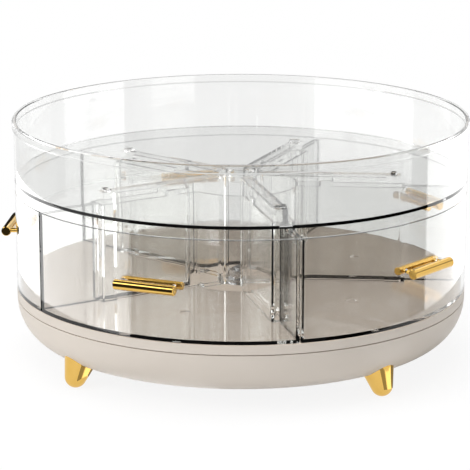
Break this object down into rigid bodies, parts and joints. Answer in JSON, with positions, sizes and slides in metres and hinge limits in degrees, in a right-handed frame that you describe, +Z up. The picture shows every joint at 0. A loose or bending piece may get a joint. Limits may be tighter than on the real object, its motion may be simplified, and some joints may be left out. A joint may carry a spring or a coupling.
{
  "type": "rotating makeup organizer",
  "caption": "Round cosmetics organizer: a clear open tray over clear wedge-shaped pull-out drawers, turning on a beige bowl base with short gold feet.",
  "frame": {"origin": "on the surface that the feet stand on, on the axis that the turntable turns about", "axes": "+Z up; -Y towards the viewer of the picture; +X to that viewer's right"},
  "size_m": [0.2898, 0.2923, 0.1484],
  "materials": {
    "clear_plastic": "clear moulded, polished",
    "beige_plastic": "warm beige, glossy moulded",
    "gold_metal": "polished gold-coloured plating",
    "steel": "zinc-plated or turned steel",
    "white_nylon": "natural nylon, matt"
  },
  "bodies": {
    "base": {"base_bowl": "beige_plastic", "foot_front_left": "gold_metal", "foot_front_right": "gold_metal", "foot_rear_right": "gold_metal", "foot_rear_left": "gold_metal", "foot_screws": "steel", "bearing_lower_race": "steel", "bearing_lower_screws": "steel", "centre_stud": "steel", "centre_washer": "steel", "centre_nut": "steel"},
    "ball_train": {"bearing_cage": "white_nylon", "bearing_balls": "steel"},
    "turntable": {"turntable_plate": "beige_plastic", "bearing_upper_race": "steel", "bearing_upper_screws": "steel", "centre_column": "clear_plastic", "divider_1": "clear_plastic", "divider_2": "clear_plastic", "divider_3": "clear_plastic", "divider_4": "clear_plastic", "divider_5": "clear_plastic", "upper_tray": "clear_plastic"},
    "drawer_1_body": {"drawer_1": "clear_plastic", "handle_bar_1": "gold_metal", "handle_inner_bar_1": "gold_metal", "handle_posts_1": "gold_metal"},
    "drawer_2_body": {"drawer_2": "clear_plastic", "handle_bar_2": "gold_metal", "handle_inner_bar_2": "gold_metal", "handle_posts_2": "gold_metal"},
    "drawer_3_body": {"drawer_3": "clear_plastic", "handle_bar_3": "gold_metal", "handle_inner_bar_3": "gold_metal", "handle_posts_3": "gold_metal"},
    "drawer_4_body": {"drawer_4": "clear_plastic", "handle_bar_4": "gold_metal", "handle_inner_bar_4": "gold_metal", "handle_posts_4": "gold_metal"},
    "drawer_5_body": {"drawer_5": "clear_plastic", "handle_bar_5": "gold_metal", "handle_inner_bar_5": "gold_metal", "handle_posts_5": "gold_metal"}
  },
  "joints": [
    {"name": "turntable_spin", "type": "hinge", "parent": "base", "child": "turntable", "pos_m": [0, 0, 0.0409], "axis": [0, 0, 1], "continuous": true},
    {"name": "ball_train_spin", "type": "hinge", "parent": "base", "child": "ball_train", "pos_m": [0, 0, 0.0312], "axis": [0, 0, 1], "continuous": true},
    {"name": "drawer_1_slide", "type": "slide", "parent": "turntable", "child": "drawer_1_body", "axis": [-0.3778, -0.9259, 0], "range_m": [0, 0.085]},
    {"name": "drawer_2_slide", "type": "slide", "parent": "turntable", "child": "drawer_2_body", "axis": [0.7638, -0.6455, 0], "range_m": [0, 0.085]},
    {"name": "drawer_3_slide", "type": "slide", "parent": "turntable", "child": "drawer_3_body", "axis": [0.8499, 0.527, 0], "range_m": [0, 0.085]},
    {"name": "drawer_4_slide", "type": "slide", "parent": "turntable", "child": "drawer_4_body", "axis": [-0.2385, 0.9711, 0], "range_m": [0, 0.085]},
    {"name": "drawer_5_slide", "type": "slide", "parent": "turntable", "child": "drawer_5_body", "axis": [-0.9973, 0.0732, 0], "range_m": [0, 0.085]}
  ],
  "couplings": [
    {"joint": "ball_train_spin", "follows": "turntable_spin", "ratio": 0.5}
  ]
}
